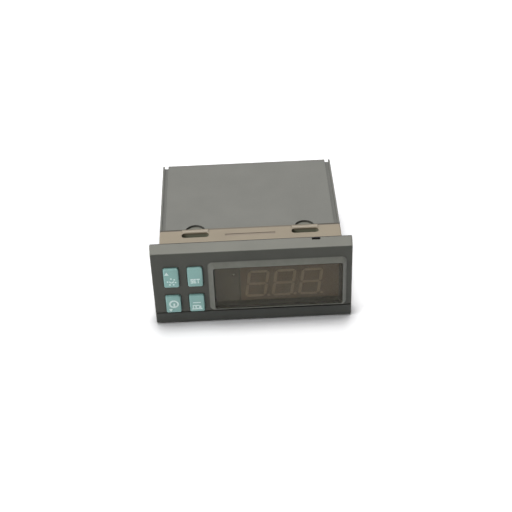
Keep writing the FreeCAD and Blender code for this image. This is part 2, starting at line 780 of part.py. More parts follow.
def inner_collar():
    body = new_body("InnerCollar")
    barrel = sketch(body, "y", "0")
    centred(barrel, "body_width / 2", "body_height / 2")
    pad(body, barrel, "collar_length")
    fillet(body, "collar_edge", runs_along("y"))
    flange = sketch(body, "y", "-flange_thickness")
    centred(flange, FLANGE_X, FLANGE_Z)
    pad(body, flange, "flange_thickness")
    tongue = sketch(body, "y", "collar_length")
    centred(tongue, TONGUE_X, TONGUE_Z)
    pad(body, tongue, "tongue_length")
    add_latch_ribs(body)
    add_latch_bosses(body)
    bore = sketch(body, "y", "-flange_thickness")
    centred(bore, TONGUE_INSIDE_X, TONGUE_INSIDE_Z)
    pocket(body, bore, f"({TONGUE_END}) + flange_thickness")
    board_seat = sketch(body, "y", "-flange_thickness")
    centred(board_seat, COLLAR_INSIDE_X, COLLAR_INSIDE_Z)
    pocket(body, board_seat, f"({DISPLAY_BOARD_BACK}) + flange_thickness")
    cut_collar_slots(body)
    lug_slots = sketch(body, "y", "-(lug_inset + lug_play)")
    lug_outlines(lug_slots, "lug_play")
    pocket(body, lug_slots, "lug_inset + lug_play")
    notch = sketch(body, "y", "-flange_thickness")
    rectangle(
        notch, f"{NOTCH_CENTRE} - notch_width / 2", f"{NOTCH_CENTRE} + notch_width / 2",
        f"({FLANGE_Z}) - notch_drop", FLANGE_Z)
    pocket(body, notch, "flange_thickness")
    node(body, "inner_collar")


def add_latch_ribs(body):
    """Rounded ribs behind the latch slots, above and below."""
    rib_end = "latch_slot_start + latch_slot_width + rib_width"
    for side in ("-", ""):
        ribs = sketch(body, "x", f"{side}{LATCH_OFFSET} - rib_length / 2")
        dome(ribs, "latch_slot_start + latch_slot_width", rib_end, "body_height / 2", "rib_height")
        dome(ribs, "latch_slot_start + latch_slot_width", rib_end, "-body_height / 2", "-rib_height")
        pad(body, ribs, "rib_length")


def add_latch_bosses(body):
    """Round bosses on the tongue that stand in the case's half-round notches."""
    for face, toward in (("", 1), ("-", -1)):
        bosses = sketch(body, "z", f"{face}({TONGUE_Z})")
        for side in ("-", ""):
            circle(bosses, f"{side}{LATCH_OFFSET}", CASE_NOTCH_LEVEL, "2 * (case_notch_radius - boss_play)")
        pad(body, bosses, f"body_height / 2 - boss_drop - ({TONGUE_Z})", toward=toward)


def cut_collar_slots(body):
    """The latch slots go right through; the middle groove is only a mark in each face."""
    slots = sketch(body, "z", "body_height / 2")
    slot_end = "latch_slot_start + latch_slot_width"
    for side in ("-", ""):
        middle = f"{side}{LATCH_OFFSET}"
        round_rectangle(
            slots, f"{middle} - latch_slot_length / 2", f"{middle} + latch_slot_length / 2",
            "latch_slot_start", slot_end, "latch_slot_width * latch_slot_roundness")
    pocket(body, slots, "body_height", toward=-1)
    for side, toward in (("", -1), ("-", 1)):
        groove = sketch(body, "z", f"{side}body_height / 2")
        rectangle(
            groove, "-groove_length / 2", "groove_length / 2",
            "groove_start", "groove_start + groove_width")
        pocket(body, groove, "groove_depth", toward=toward)


def case_shell():
    body = new_body("CaseShell")
    outline = sketch(body, "y", "collar_length")
    centred(outline, "body_width / 2", "body_height / 2")
    pad(body, outline, "case_length")
    fillet(body, "case_edge", runs_along("y"))
    inside = sketch(body, "y", "collar_length")
    centred(inside, CASE_INSIDE_X, CASE_INSIDE_Z)
    pocket(body, inside, "case_length - case_rear_wall")
    add_board_guides(body)
    notches = sketch(body, "z", "body_height / 2")
    for side in ("-", ""):
        circle(notches, f"{side}{LATCH_OFFSET}", CASE_NOTCH_LEVEL, "2 * case_notch_radius")
    pocket(body, notches, "body_height", toward=-1)
    cut_rail_grooves(body)
    opening = sketch(body, "y", CASE_INSIDE_REAR)
    half = f"({BLOCK_WIDTH}) + block_gap / 2 + block_play"
    rectangle(
        opening, f"-({half})", half,
        f"({BOARD_TOP}) - block_play", f"({BOARD_TOP}) + block_height + block_play")
    pocket(body, opening, "case_rear_wall")
    add_bracket_channels(body)
    node(body, "case_shell")


def add_board_guides(body):
    """Rails above and below each long edge of the main board."""
    guides = sketch(body, "y", f"({TONGUE_END}) + guide_start")
    above = f"({BOARD_TOP}) + guide_play"
    below = f"({BOARD_TOP}) - board_thickness - guide_play"
    for low, high in ((above, f"{above} + guide_thickness"), (f"{below} - guide_thickness", below)):
        rectangle(guides, GUIDE_INSIDE, CASE_INSIDE_X, low, high)
        rectangle(guides, f"-({CASE_INSIDE_X})", f"-{GUIDE_INSIDE}", low, high)
    pad(body, guides, f"({BLOCK_FRONT}) - guide_end_gap - ({TONGUE_END}) - guide_start")


def cut_rail_grooves(body):
    """A groove beside each long edge, above and below, that ends in a slot at the rear."""
    outer = "body_width / 2 - rail_lip"
    inner = f"{outer} - rail_groove_width"
    grooves = sketch(body, "y", "collar_length")
    top = "body_height / 2"
    for left, right in ((inner, outer), (f"-({outer})", f"-({inner})")):
        rectangle(grooves, left, right, f"{top} - rail_groove_depth", top)
        rectangle(grooves, left, right, f"-{top}", f"-({top} - rail_groove_depth)")
    pocket(body, grooves, "case_length")
    slots = sketch(body, "z", top)
    for left, right in ((inner, outer), (f"-({outer})", f"-({inner})")):
        rectangle(slots, left, right, f"({CASE_REAR}) - rear_notch_depth", CASE_REAR)
    pocket(body, slots, "body_height", toward=-1)


def add_bracket_channels(body):
    """Side channels for the panel brackets, each with a row of ratchet teeth."""
    start = "collar_length + channel_start"
    half = "channel_height / 2"
    for side, toward in (("", -1), ("-", 1)):
        channel = sketch(body, "x", f"{side}body_width / 2")
        rectangle(channel, start, CASE_REAR, f"-{half}", half)
        pocket(body, channel, "channel_depth", toward=toward)
    floor = "body_width / 2 - channel_depth"
    first = "collar_length + tooth_start"
    tooth = sketch(body, "z", f"-{half}")
    last = f"{first} + tooth_pitch * tooth_share"
    for side in ("", "-"):
        polygon(tooth, [
            (f"{side}({floor})", first),
            (f"{side}({floor} + tooth_height)", last),
            (f"{side}({floor})", last)])
    teeth = pad(body, tooth, "channel_height")
    row = body.newObject("PartDesign::LinearPattern", "TeethRow")
    row.Originals = [teeth]
    row.Direction = (next(item for item in body.Origin.OriginFeatures if item.Role == "Y_Axis"), [""])
    bind(row, Length=f"tooth_pitch * ({TOOTH_COUNT} - 1)", Occurrences=TOOTH_COUNT)
    body.Tip = row
    doc.recompute()


# ---------------------------------------------------------------- display

def segment_outline(centre, level, length, width, upright):
    """A bar with pointed ends, before the digit's slant, as a list of corner points."""
    half, tip = length / 2, width / 2
    corners = [
        (-half, 0), (-half + tip, tip), (half - tip, tip),
        (half, 0), (half - tip, -tip), (-half + tip, -tip)]
    if upright:
        corners = [(up, across) for across, up in corners]
    return [(centre + across, level + up) for across, up in corners]


def digit_bars(column):
    """The seven bars of one figure, slanted about its middle."""
    level = number(DIGIT_LEVEL)
    width, gap = number("bar_width"), number("bar_gap")
    half_x = (number(DIGIT_WIDTH) - width) / 2
    half_z = (number("digit_height") - width) / 2
    bars = [segment_outline(0, z, 2 * half_x - gap, width, False) for z in (-half_z, 0, half_z)]
    for x in (-half_x, half_x):
        bars += [segment_outline(x, z, half_z - gap, width, True) for z in (-half_z / 2, half_z / 2)]
    slant = math.tan(math.radians(number("digit_slant")))
    return [[(column + x + z * slant, level + z) for x, z in bar] for bar in bars]


def digit_point(column):
    """The decimal point at the lower right of one figure."""
    slant = math.tan(math.radians(number("digit_slant")))
    radius = number("point_diameter") / 2
    level = number(f"{DIGIT_LEVEL} - digit_height / 2") + radius
    centre = column + number(DIGIT_PITCH) / 2 - number("digit_height") / 2 * slant
    turns = [2 * math.pi * i / number("point_sides") for i in range(int(number("point_sides")))]
    return [(centre + radius * math.cos(turn), level + radius * math.sin(turn)) for turn in turns]


def display_segments():
    """Epoxy bars and points of the three figures, flush with the display's face."""
    front = number(DISPLAY_FRONT)
    depth = V(0, number("bar_depth"), 0)
    solids = []
    for place_index in range(3):
        column = number(f"{DIGIT_FIRST} + {place_index} * {DIGIT_PITCH}")
        for outline in digit_bars(column) + [digit_point(column)]:
            points = [V(x, front, z) for x, z in outline]
            solids.append(Part.Face(Part.makePolygon(points + points[:1])).extrude(depth))
    bars = doc.addObject("Part::Feature", "DisplaySegments")
    bars.Shape = Part.makeCompound(solids)
    bars.Placement = FreeCAD.Placement()
    return node(bars, "display_segments")


def led_display():
    bars = display_segments()
    housing = block(
        "DisplayBlock", (DISPLAY_LEFT, DISPLAY_RIGHT),
        (DISPLAY_FRONT, DISPLAY_BOARD_FRONT), (DISPLAY_BOTTOM, DISPLAY_TOP))
    node(cut("DisplayHousing", housing, [bars]), "display_housing")


def status_led():
    """A round lamp in a plain holder beside the figures; its tip shows through a small window."""
    tip = f"({DISPLAY_BOARD_FRONT}) - led_length"
    holder = block(
        "HolderBlock", (f"{WINDOW_LEFT} + holder_inset", f"{DISPLAY_LEFT} - holder_gap"),
        (DISPLAY_FRONT, DISPLAY_BOARD_FRONT), (DISPLAY_BOTTOM, DISPLAY_TOP))
    tools = [
        rod("HolderBore", "y", "led_diameter + 2 * led_play", LED_COLUMN,
            (f"{tip} - led_play", DISPLAY_BOARD_FRONT), LED_LEVEL),
        rod("HolderWindow", "y", "led_window", LED_COLUMN, (DISPLAY_FRONT, DISPLAY_BOARD_FRONT), LED_LEVEL),
    ]
    node(cut("LedHolder", holder, tools), "led_holder")
    lamp = rod("Lamp", "y", "led_diameter", LED_COLUMN, (tip, DISPLAY_BOARD_FRONT), LED_LEVEL)
    node(bevelled("StatusLed", lamp, "led_tip_bevel", lies_at("y", tip)), "status_led")


def display_board():
    half_x = f"({COLLAR_INSIDE_X}) - display_board_play"
    half_z = f"({COLLAR_INSIDE_Z}) - display_board_play"
    board = block(
        "DisplayBoard", (f"-({half_x})", half_x), (DISPLAY_BOARD_FRONT, DISPLAY_BOARD_BACK),
        (f"-({half_z})", half_z))
    node(board, "display_board")


# ---------------------------------------------------------------- main board

def on_board(name, column, row, width, length, height):
    """A block standing on the main board, centred on a column and a row."""
    return block(
        name, (f"{column} - {width} / 2", f"{column} + {width} / 2"),
        (f"{row} - {length} / 2", f"{row} + {length} / 2"), (BOARD_TOP, f"({BOARD_TOP}) + {height}"))


def main_board():
    board = block(
        "MainBoard", (f"-({BOARD_SIDE})", BOARD_SIDE), (BOARD_FRONT, BOARD_REAR),
        (f"({BOARD_TOP}) - board_thickness", BOARD_TOP))
    node(board, "main_board")


def board_connector():
    """A pin header on the main board plugged into a socket on the display board."""
    half = "connector_pins * pin_spacing / 2"
    height = (BOARD_TOP, f"({BOARD_TOP}) + connector_height")
    socket_rear = f"({DISPLAY_BOARD_BACK}) + socket_depth"
    level = f"({BOARD_TOP}) + connector_height / 2"
    socket = block("SocketBlock", (f"-{half}", half), (DISPLAY_BOARD_BACK, socket_rear), height)
    header = block("HeaderBlock", (f"-{half}", half), (socket_rear, f"{socket_rear} + header_depth"), height)
    holes, pins = [], []
    for i in range(int(number("connector_pins"))):
        column = f"({i} + 0.5) * pin_spacing - {half}"
        for kind, play, reach, store in (("Hole", "pin_play", "pin_play", holes), ("Pin", "0", "0", pins)):
            side = f"(pin_size / 2 + {play})"
            store.append(block(
                f"Connector{kind}{i}", (f"{column} - {side}", f"{column} + {side}"),
                (f"{socket_rear} - pin_length - {reach}", socket_rear),
                (f"{level} - {side}", f"{level} + {side}")))
    node(cut("BoardSocket", socket, holes), "board_socket")
    node(fuse("BoardHeader", [header] + pins), "board_header")


def transformer():
    """Laminated core, bobbin through its windows and the winding on it, its axis along Y."""
    centre = f"(-{GUIDE_INSIDE} + transformer_gap + core_width / 2)"
    start = "transformer_start"
    level = f"({BOARD_TOP} + coil_lift + bobbin_height / 2)"
    stack = (f"{level} - core_stack / 2", f"{level} + core_stack / 2")
    middle = "(transformer_start + core_length / 2)"
    half_leg = "core_leg"
    window = (f"{middle} - coil_length / 2 - coil_play", f"{middle} + coil_length / 2 + coil_play")
    core = block(
        "CoreBlock", (f"{centre} - core_width / 2", f"{centre} + core_width / 2"),
        (start, f"{start} + core_length"), stack)
    windows = [
        block(
            "CoreWindowLeft", (f"{centre} - core_width / 2 + core_leg", f"{centre} - {half_leg}"),
            window, stack),
        block(
            "CoreWindowRight", (f"{centre} + {half_leg}", f"{centre} + core_width / 2 - core_leg"),
            window, stack),
    ]
    node(cut("TransformerCore", core, windows), "transformer_core")
    coil = (f"{middle} - coil_length / 2", f"{middle} + coil_length / 2")
    hole_x, hole_z = f"({half_leg} + coil_play)", "(core_stack / 2 + coil_play)"
    outer_x, outer_z = "(core_width / 2 - core_leg - coil_play)", "bobbin_height / 2"
    tube_x, tube_z = f"({hole_x} + bobbin_wall)", f"({hole_z} + bobbin_wall)"

    def ring_block(name, half_x, half_z, along):
        return block(name, (f"{centre} - {half_x}", f"{centre} + {half_x}"), along,
                     (f"{level} - {half_z}", f"{level} + {half_z}"))
    flange_low = (coil[0], f"{coil[0]} + bobbin_flange")
    flange_high = (f"{coil[1]} - bobbin_flange", coil[1])
    between = (flange_low[1], flange_high[0])
    spool = fuse("Spool", [
        ring_block("SpoolTube", tube_x, tube_z, coil),
        ring_block("SpoolFront", outer_x, outer_z, flange_low),
        ring_block("SpoolRear", outer_x, outer_z, flange_high)])
    spool_hole = ring_block("SpoolHole", hole_x, hole_z, coil)
    node(cut("TransformerBobbin", spool, [spool_hole]), "transformer_bobbin")
    wound = ring_block(
        "WindingBlock", f"({outer_x} - winding_inset)", f"({outer_z} - winding_inset)", between)
    soft_wound = bevelled("WindingSoft", wound, "winding_corner", runs_along("y"))
    winding_hole = ring_block("WindingHole", tube_x, tube_z, between)
    node(cut("TransformerWinding", soft_wound, [winding_hole]), "transformer_winding")


def relays():
    row = f"({BLOCK_FRONT} - relay_rear_gap - relay_length / 2)"
    for i, name in enumerate(("fan", "defrost", "compressor")):
        column = f"({GUIDE_INSIDE} - relay_side_gap - relay_width / 2 - {i} * (relay_width + relay_gap))"
        case = on_board(f"Relay{i}", column, row, "relay_width", "relay_length", "relay_height")
        node(case, f"relay_{name}")


def capacitors():
    for i, name in enumerate(("input", "output")):
        column = f"({BOARD_SIDE} - capacitor_inset - {i} * (capacitor_diameter + capacitor_gap))"
        can = rod("CapacitorCan" + str(i), "z", "capacitor_diameter", column, "capacitor_row",
                  (BOARD_TOP, f"({BOARD_TOP}) + capacitor_height"))
        top = lies_at("z", f"({BOARD_TOP}) + capacitor_height")
        node(bevelled("Capacitor" + str(i), can, "capacitor_bead", top), f"capacitor_{name}")


def small_board_parts():
    """The flat packages, the varistor's disc on edge and the buzzer."""
    flat_parts = {
        "microcontroller": ("chip", "chip_column"),
        "voltage_regulator": ("regulator", f"({BOARD_SIDE} - regulator_inset)"),
        "bridge_rectifier": ("rectifier", f"(-({BOARD_SIDE}) + rectifier_inset)"),
    }
    for name, (kind, column) in flat_parts.items():
        package = on_board(
            kind.capitalize(), column, kind + "_row", kind + "_width", kind + "_length", kind + "_height")
        node(package, name)
    disc = rod("VaristorDisc", "y", "varistor_diameter", f"({BOARD_SIDE}) - varistor_inset",
               ("varistor_row - varistor_thickness / 2", "varistor_row + varistor_thickness / 2"),
               f"({BOARD_TOP}) + varistor_diameter / 2")
    node(disc, "varistor")
    buzzer_column = f"-({BOARD_SIDE}) + buzzer_inset"
    can = rod("BuzzerCan", "z", "buzzer_diameter", buzzer_column, "buzzer_row",
              (BOARD_TOP, f"({BOARD_TOP}) + buzzer_height"))
    mouth = rod("BuzzerMouth", "z", "buzzer_hole", buzzer_column, "buzzer_row",
                (f"({BOARD_TOP}) + buzzer_height / 2", f"({BOARD_TOP}) + buzzer_height"))
    node(cut("Buzzer", can, [mouth]), "buzzer")


# ---------------------------------------------------------------- terminals

def pole_columns(side):
    """The X formula of each pole of the left (-1) or right (1) block."""
    count = int(number(POLE_COUNT))
    first = "(block_gap / 2 + block_end_wall + pole_pitch / 2)"
    return [f"{side} * ({first} + {i} * pole_pitch)" for i in range(count)]


def terminal_block(name, side):
    body = new_body("TerminalBlock_" + name)
    near, far = f"{side} * block_gap / 2", f"{side} * (block_gap / 2 + {BLOCK_WIDTH})"
    left, right = (near, far) if side > 0 else (far, near)
    outline = sketch(body, "y", BLOCK_FRONT)
    rectangle(outline, left, right, BOARD_TOP, f"({BOARD_TOP}) + block_height")
    pad(body, outline, "block_depth")
    chambers = sketch(body, "y", BLOCK_FRONT)
    mouths = sketch(body, "y", BLOCK_REAR)
    for column in pole_columns(side):
        low = f"({ENTRY_LEVEL}) - entry_height / 2 - chamber_margin / 2"
        high = f"({SCREW_LEVEL}) + screw_hole / 2 + chamber_margin / 2"
        rectangle(chambers, f"{column} - chamber_width / 2", f"{column} + chamber_width / 2", low, high)
        rectangle(
            mouths, f"{column} - entry_width / 2", f"{column} + entry_width / 2",
            f"({ENTRY_LEVEL}) - entry_height / 2", f"({ENTRY_LEVEL}) + entry_height / 2")
        circle(mouths, column, SCREW_LEVEL, "screw_hole")
    pocket(body, chambers, "chamber_depth")
    pocket(body, mouths, "block_depth - chamber_depth", toward=-1)
    node(body, "terminal_block_" + name)


def terminal_hardware():
    """One clamp cage and one slotted screw for every pole, each kind in one node."""
    cage_rear = f"({BLOCK_FRONT}) + chamber_depth"
    cage_front = f"{cage_rear} - cage_depth"
    head_rear = f"({BLOCK_REAR}) - screw_head_recess"
    head_front = f"{head_rear} - screw_head_height"
    cages, passages, threads, heads, shanks, slots = [], [], [], [], [], []
    for i, column in enumerate(pole_columns(-1) + pole_columns(1)):
        half = "(chamber_width / 2 - cage_play)"
        low = f"({ENTRY_LEVEL}) - entry_height / 2 - chamber_margin / 2 + cage_play"
        high = f"({SCREW_LEVEL}) + screw_hole / 2 + chamber_margin / 2 - cage_play"
        depth = (cage_front, cage_rear)
        cages.append(block(f"Cage{i}", (f"{column} - {half}", f"{column} + {half}"), depth, (low, high)))
        passages.append(block(
            f"CagePassage{i}",
            (f"{column} - cage_entry_width / 2", f"{column} + cage_entry_width / 2"), depth,
            (f"({ENTRY_LEVEL}) - cage_entry_height / 2", f"({ENTRY_LEVEL}) + cage_entry_height / 2")))
        threads.append(many_sided(
            f"CageThread{i}", "shank_sides", "screw_diameter + 2 * screw_play", column, depth, SCREW_LEVEL))
        heads.append(many_sided(
            f"ScrewHead{i}", "head_sides", "screw_head_diameter", column,
            (head_front, head_rear), SCREW_LEVEL))
        shanks.append(many_sided(
            f"ScrewShank{i}", "shank_sides", "screw_diameter", column,
            (f"{head_front} - screw_length", head_front), SCREW_LEVEL))
        slots.append(block(
            f"ScrewSlot{i}", (f"{column} - screw_head_diameter / 2", f"{column} + screw_head_diameter / 2"),
            (f"{head_rear} - screw_head_height / 2", head_rear),
            (f"({SCREW_LEVEL}) - screw_slot / 2", f"({SCREW_LEVEL}) + screw_slot / 2")))
    holes = group("CageHoles", passages + threads)
    node(cut("TerminalCages", group("CageBlocks", cages), [holes]), "terminal_cages")
    blanks = fuse("ScrewBlanks", heads + shanks)
    node(cut("TerminalScrews", blanks, [group("ScrewSlots", slots)]), "terminal_screws")


# ---------------------------------------------------------------- the whole part

front_frame()
display_lens()
panel_gasket()
for key_name, (key_centre, key_bottom, key_top) in key_places().items():
    key_cap(key_name, key_centre, key_bottom, key_top)
    tact_switch(key_name, key_centre, key_bottom, key_top)
inner_collar()
case_shell()
led_display()
status_led()
display_board()
main_board()
board_connector()
transformer()
relays()
capacitors()
small_board_parts()
terminal_block("left", -1)
terminal_block("right", 1)
terminal_hardware()
doc.recompute()

for thing in doc.Objects:
    if any(word in str(state) for state in thing.State for word in ("Invalid", "Error")):
        raise ValueError(f"{thing.Label} failed: {thing.State}")
for piece in nodes:
    if piece.Shape.isNull() or not piece.Shape.isValid():
        raise ValueError(f"{piece.Label} has no valid shape")
os.makedirs("parts", exist_ok=True)
for piece in nodes:
    piece.Shape.exportStep(f"parts/{piece.Label}.step")
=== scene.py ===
import json
import math
from functools import partial

import bmesh
import bpy
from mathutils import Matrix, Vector


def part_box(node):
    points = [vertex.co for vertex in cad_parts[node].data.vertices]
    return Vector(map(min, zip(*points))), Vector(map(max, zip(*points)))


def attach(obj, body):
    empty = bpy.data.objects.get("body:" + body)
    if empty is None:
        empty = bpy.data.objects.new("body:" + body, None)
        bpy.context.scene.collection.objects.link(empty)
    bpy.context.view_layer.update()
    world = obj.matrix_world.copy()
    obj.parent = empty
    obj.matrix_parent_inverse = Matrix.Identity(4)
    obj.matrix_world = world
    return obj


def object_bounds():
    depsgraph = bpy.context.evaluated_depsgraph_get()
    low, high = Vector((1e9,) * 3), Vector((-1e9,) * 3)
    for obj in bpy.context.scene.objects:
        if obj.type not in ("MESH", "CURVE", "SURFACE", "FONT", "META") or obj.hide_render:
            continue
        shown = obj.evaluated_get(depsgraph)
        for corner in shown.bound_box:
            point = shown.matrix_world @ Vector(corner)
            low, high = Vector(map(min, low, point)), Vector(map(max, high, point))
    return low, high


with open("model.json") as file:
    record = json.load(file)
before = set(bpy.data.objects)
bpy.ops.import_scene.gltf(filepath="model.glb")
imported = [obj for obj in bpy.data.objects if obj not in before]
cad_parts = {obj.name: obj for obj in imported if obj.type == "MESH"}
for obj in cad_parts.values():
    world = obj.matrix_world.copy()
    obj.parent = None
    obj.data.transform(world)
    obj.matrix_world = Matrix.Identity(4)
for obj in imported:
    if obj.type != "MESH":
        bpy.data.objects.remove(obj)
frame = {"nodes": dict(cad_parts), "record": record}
CAD_LOW, CAD_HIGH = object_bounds()

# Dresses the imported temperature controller: finishes, key print, lamp tip, floor, light and camera.

MM = 0.001
WHITE = (1, 1, 1, 1)
OBJECT_MIDDLE = (Vector(CAD_LOW) + Vector(CAD_HIGH)) / 2

# The viewpoint: angles in degrees, lengths in millimetres, against the middle of the object.
VIEW_AZIMUTH = -0.66
VIEW_ELEVATION = 37.79
VIEW_ROLL = -2.27
VIEW_DISTANCE = 451.2
VIEW_AIM = (2.0, -5.2, -6.0)
LENS_LENGTH = 79.19
SENSOR_WIDTH = 36.0

# The lamps: azimuth and elevation in degrees, distance and size in metres, power in watts.
LAMPS = {
    "top_light": (175, 82, 0.9, 0.35, 5.2),
    "rear_light": (178, 62, 0.9, 0.4, 1.2),
    "front_light": (-60, 36, 1.0, 0.4, 4.4),
}

# The light that comes from all round, as a share of the white that the backdrop shows.
AMBIENT = 0.12

# The floor: half its width, and the distances from the middle between which its glow rises from the
# share given to white, in metres.
FLOOR_REACH = 3.0
FLOOR_GLOW = 0.36
FLOOR_NEAR = 0.12
FLOOR_FAR = 0.5
PAPER_TONES = (0.80, 0.80, 0.81, 1.0), (0.83, 0.83, 0.84, 1.0)

# How far from the object, in millimetres, its painted contact shadow holds back that glow.
SHADOW_REACH = 9.0

# Key print in millimetres: its height on the cap, how much each stroke stands above the one before so
# that crossed strokes share no face, the width of its lines, the roundness of its edges, its dots with
# their places on the ring in degrees, and half the height of its letters.
INK_HEIGHT = 0.03
INK_STEP = 0.001
INK_LINE = 0.42
INK_BEVEL = 0.01
DOT_RADIUS = 0.36
DOT_PLACES = (95, 43, -10, -61, -118, 176)
LETTER_TOP = 0.62

# The status lamp's rounded tip: its radius and how far it lies behind the holder's face, in
# millimetres, and the steps along and around it.
DOME_RADIUS = 0.58
DOME_SETBACK = 0.03
DOME_STEPS = 6
DOME_SIDES = 20

# How far the window's rim stands proud of the frame's plate, and the distances from the plate's plane
# between which the tones before and behind it fade in, in millimetres.
RIM_HEIGHT = 1.45
FADE_NEAR = 0.05
FADE_FAR = 0.2

# The height of the strip below the shadow groove, which gets painted shade, in millimetres.
CHIN_HEIGHT = 5.2

# The collar's middle groove, on its outer faces, which is darkened with painted shade, in millimetres.
GROOVE_LENGTH = 19.0
GROOVE_START = 7.6
GROOVE_WIDTH = 1.3

# The painted light that lifts the shaded walls of the collar's slots to a paler tone, in millimetres: how far
# below the case's top it starts, how much deeper it is full, and how far in from the case's sides it is kept.
WALL_TOP = 0.35
WALL_FADE = 0.8
SIDE_MARGIN = 1.2

# The painted shade along the collar's seam with the case, in millimetres: how far before the case it starts
# and is full, and the distances to each side of the middle between which it grows to its strongest.
SEAM_SHADE_START = 1.05
SEAM_SHADE_FULL = 0.55
SEAM_SHADE_INNER = 16.0
SEAM_SHADE_OUTER = 28.0

# Cosines of the turn between a face and its softened normal, on a flat and on a sharp edge.
FLAT_COSINE = 0.98
SHARP_COSINE = 0.80


def srgb(red, green, blue):
    """Linear colour of an 8-bit screen colour."""
    def channel(value):
        value /= 255
        return value / 12.92 if value <= 0.04045 else ((value + 0.055) / 1.055) ** 2.4
    return (channel(red), channel(green), channel(blue), 1.0)


def shade(colour, factor):
    """The colour made that much lighter or darker."""
    return tuple(min(1.0, c * factor) for c in colour[:3]) + (1.0,)


def toward(azimuth, elevation):
    """The direction of a viewpoint or lamp in degrees: azimuth 0 is in front and 90 to the right."""
    a = math.radians(azimuth)
    e = math.radians(elevation)
    return Vector((math.sin(a) * math.cos(e), -math.cos(a) * math.cos(e), math.sin(e)))


def add_object(name, mesh, material):
    """Puts what the mesh code made into the scene as one object."""
    data = bpy.data.meshes.new(name)
    mesh.to_mesh(data)
    mesh.free()
    data.materials.append(material)
    made = bpy.data.objects.new(name, data)
    bpy.context.collection.objects.link(made)
    return made


# ---------------------------------------------------------------- node helpers

class Graph:
    """The node tree of a material or a world, with short calls to add and join nodes."""

    def __init__(self, owner):
        owner.use_nodes = True
        self.owner = owner
        self.tree = owner.node_tree
        self.tree.nodes.clear()
        self.coords = self.node("ShaderNodeTexCoord").outputs["Object"]

    def node(self, kind, **inputs):
        """A new node, with its inputs set or joined by their names."""
        made = self.tree.nodes.new(kind)
        for key, value in inputs.items():
            self.feed(made.inputs[key.replace("_", " ")], value)
        return made

    def feed(self, socket, value):
        """Joins the socket to another node's output, or sets it to a plain value."""
        if isinstance(value, bpy.types.NodeSocket):
            self.tree.links.new(value, socket)
        else:
            socket.default_value = value

    def noise(self, size, detail=2.0, rough=0.5, stretch=None):
        """Smooth noise with features of that size in millimetres."""
        where = self.coords
        if stretch:
            where = self.node("ShaderNodeMapping", Vector=where, Scale=stretch).outputs[0]
        scale = 1 / (size * MM)
        made = self.node("ShaderNodeTexNoise", Vector=where, Scale=scale, Detail=detail, Roughness=rough)
        return made.outputs["Fac"]

    def wave(self, size, direction, distortion, detail):
        """Soft bands of that width in millimetres, one after another along an axis."""
        scale = 1 / (size * MM)
        made = self.node("ShaderNodeTexWave", Vector=self.coords, Scale=scale, Detail=detail)
        self.feed(made.inputs["Distortion"], distortion)
        made.bands_direction = direction
        return made.outputs["Fac"]

    def ramp(self, value, low, high, to_low=0.0, to_high=1.0):
        """The value spread from one range to another, and held at its ends."""
        made = self.node("ShaderNodeMapRange")
        made.clamp = True
        for index, part in enumerate((value, low, high, to_low, to_high)):
            self.feed(made.inputs[index], part)
        return made.outputs[0]

    def math(self, kind, first, second=0.0):
        """The outcome of a math node of that kind."""
        made = self.node("ShaderNodeMath")
        made.operation = kind
        self.feed(made.inputs[0], first)
        self.feed(made.inputs[1], second)
        return made.outputs[0]

    def times(self, first, second):
        """The two values multiplied."""
        return self.math("MULTIPLY", first, second)

    def mix(self, share, first, second):
        """The first colour, with that share of the second."""
        made = self.node("ShaderNodeMix")
        made.data_type = "RGBA"
        self.feed(made.inputs[0], share)
        self.feed(made.inputs[6], first)
        self.feed(made.inputs[7], second)
        return made.outputs[2]

    def soft_normal(self, radius):
        """The surface's normal with its sharp edges rounded by that radius in millimetres."""
        made = self.node("ShaderNodeBevel", Radius=radius * MM)
        made.samples = 4
        return made.outputs[0]

    def edges(self, normal):
        """1 on sharp edges and 0 on flats."""
        flat = self.node("ShaderNodeNewGeometry").outputs["Normal"]
        dot = self.node("ShaderNodeVectorMath")
        dot.operation = "DOT_PRODUCT"
        self.feed(dot.inputs[0], normal)
        self.feed(dot.inputs[1], flat)
        return self.ramp(dot.outputs["Value"], FLAT_COSINE, SHARP_COSINE)

    def crevice_shade(self, reach, depth):
        """A painted-shade factor: 1 in the open, down to 1 less depth in grooves and corners within that
        reach in millimetres.
        """
        made = self.node("ShaderNodeAmbientOcclusion", Distance=reach * MM)
        made.samples = 8
        return self.ramp(made.outputs["AO"], 0.35, 0.95, 1 - depth, 1.0)

    def darken(self, colour, share):
        """The colour times the share."""
        made = self.node("ShaderNodeVectorMath")
        made.operation = "SCALE"
        self.feed(made.inputs[0], colour)
        self.feed(made.inputs[3], share)
        return made.outputs["Vector"]

    def bump(self, height, strength, distance, normal):
        """The normal with relief of that depth in millimetres."""
        depth = distance * MM
        made = self.node("ShaderNodeBump", Height=height, Strength=strength, Distance=depth, Normal=normal)
        return made.outputs[0]

    def seen(self):
        """1 for the rays that see the backdrop straight, mirrored or through the window."""
        path = self.node("ShaderNodeLightPath").outputs
        straight = self.math("MAXIMUM", path["Is Camera Ray"], path["Is Glossy Ray"])
        return self.math("MAXIMUM", straight, path["Is Transmission Ray"])

    def end(self, kind, shader):
        """Joins the shader to an output node of that kind."""
        self.tree.links.new(shader.outputs[0], self.node(kind).inputs["Surface"])

    def finish(self, **inputs):
        """Ends a material with a principled shader and returns it."""
        self.end("ShaderNodeOutputMaterial", self.node("ShaderNodeBsdfPrincipled", **inputs))
        return self.owner


def new_material(name):
    """The graph of a new material."""
    return Graph(bpy.data.materials.new(name))


# ---------------------------------------------------------------- finishes

